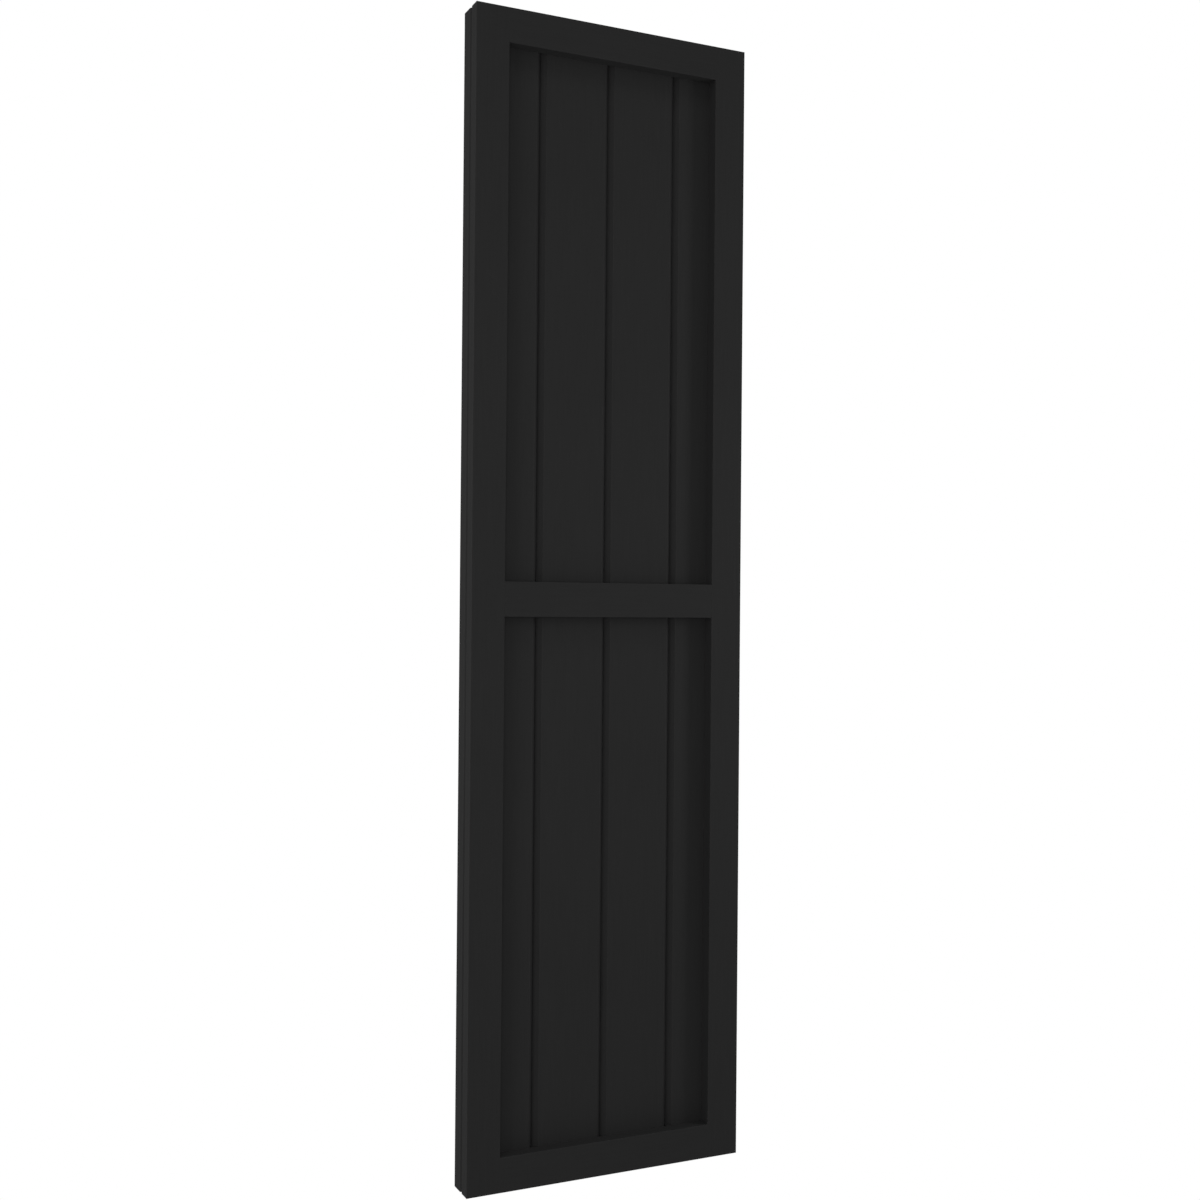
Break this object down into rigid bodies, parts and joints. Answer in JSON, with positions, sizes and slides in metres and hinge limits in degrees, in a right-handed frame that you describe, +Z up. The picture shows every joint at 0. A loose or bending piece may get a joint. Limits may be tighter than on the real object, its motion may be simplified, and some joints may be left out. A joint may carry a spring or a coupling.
{
  "type": "board and batten shutter",
  "caption": "Framed board and batten window shutter: upright V-edged boards behind a flush frame of stiles and rails, smooth matte black, fixed flat on a wall.",
  "frame": {"origin": "centre of the flat back face, on the wall", "axes": "+X to the right seen from the front, +Y into the wall, +Z up"},
  "size_m": [0.2762, 0.0318, 1.0668],
  "materials": {
    "boards": "smooth matte black paint on cellular PVC board",
    "frame": "smooth matte black paint on cellular PVC strip"
  },
  "bodies": {
    "root": {"left_outer_board": "boards", "left_inner_board": "boards", "right_inner_board": "boards", "right_outer_board": "boards", "left_stile": "frame", "right_stile": "frame", "top_rail": "frame", "middle_rail": "frame", "bottom_rail": "frame"}
  },
  "joints": []
}
